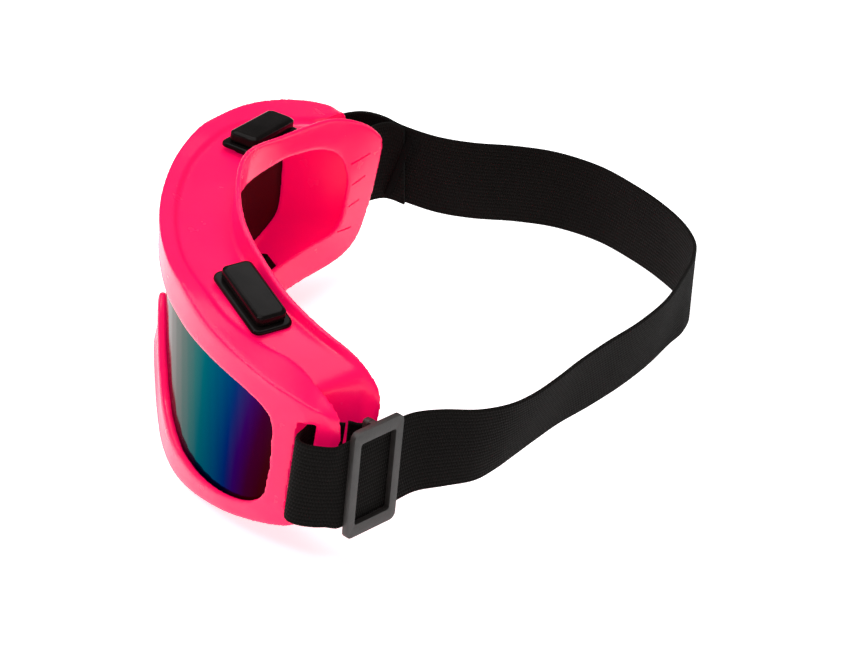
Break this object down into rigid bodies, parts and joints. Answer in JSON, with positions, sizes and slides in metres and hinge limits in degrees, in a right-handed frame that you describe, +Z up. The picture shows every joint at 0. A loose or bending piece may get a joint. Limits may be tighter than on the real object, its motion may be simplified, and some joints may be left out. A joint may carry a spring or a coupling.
{
  "type": "protective goggles",
  "caption": "Moulded protective sports goggles with a curved mirror lens, indirect vents and an adjustable elastic webbing strap.",
  "frame": {"origin": "on the standing plane, below the middle of the outer box", "axes": "+Z up, front of the goggles faces -Y, wearer's left is +X"},
  "size_m": [0.1862, 0.1744, 0.0865],
  "materials": {
    "frame_pink": "soft glossy moulded vinyl, hot pink",
    "lens_mirror": "rainbow mirror coating on a dark tint",
    "vent_black": "glossy black",
    "strap_black": "ribbed elastic webbing, black",
    "slider_grey": "satin dark grey",
    "thread_black": "sewing thread"
  },
  "bodies": {
    "goggles": {"frame": "frame_pink", "lens": "lens_mirror", "vent_base_top_left": "vent_black", "vent_cover_top_left": "vent_black", "vent_base_top_right": "vent_black", "vent_cover_top_right": "vent_black", "vent_base_bottom_left": "vent_black", "vent_cover_bottom_left": "vent_black", "vent_base_bottom_right": "vent_black", "vent_cover_bottom_right": "vent_black"},
    "strap": {"strap_left_loop": "strap_black", "strap_slider_run": "strap_black", "strap_left_run": "strap_black", "strap_right_run": "strap_black", "strap_right_loop": "strap_black", "bartack_right": "thread_black"},
    "slider": {"slider_frame": "slider_grey", "strap_left_end": "strap_black", "bartack_left": "thread_black"},
    "strap_rear": {"strap_rear_run": "strap_black"}
  },
  "joints": [
    {"name": "strap_tilt", "type": "hinge", "parent": "goggles", "child": "strap", "pos_m": [0.00152, -0.0338, 0.0375], "axis": [1, 0, 0], "range_deg": [-5, 1]},
    {"name": "slider_adjust", "type": "slide", "parent": "strap", "child": "slider", "axis": [-0.7108, 0.692, -0.1256], "range_m": [0, 0.0025]},
    {"name": "strap_stretch", "type": "slide", "parent": "strap", "child": "strap_rear", "axis": [0, 1, 0], "range_m": [0, 0.04], "stiffness_N_per_m": 60}
  ]
}
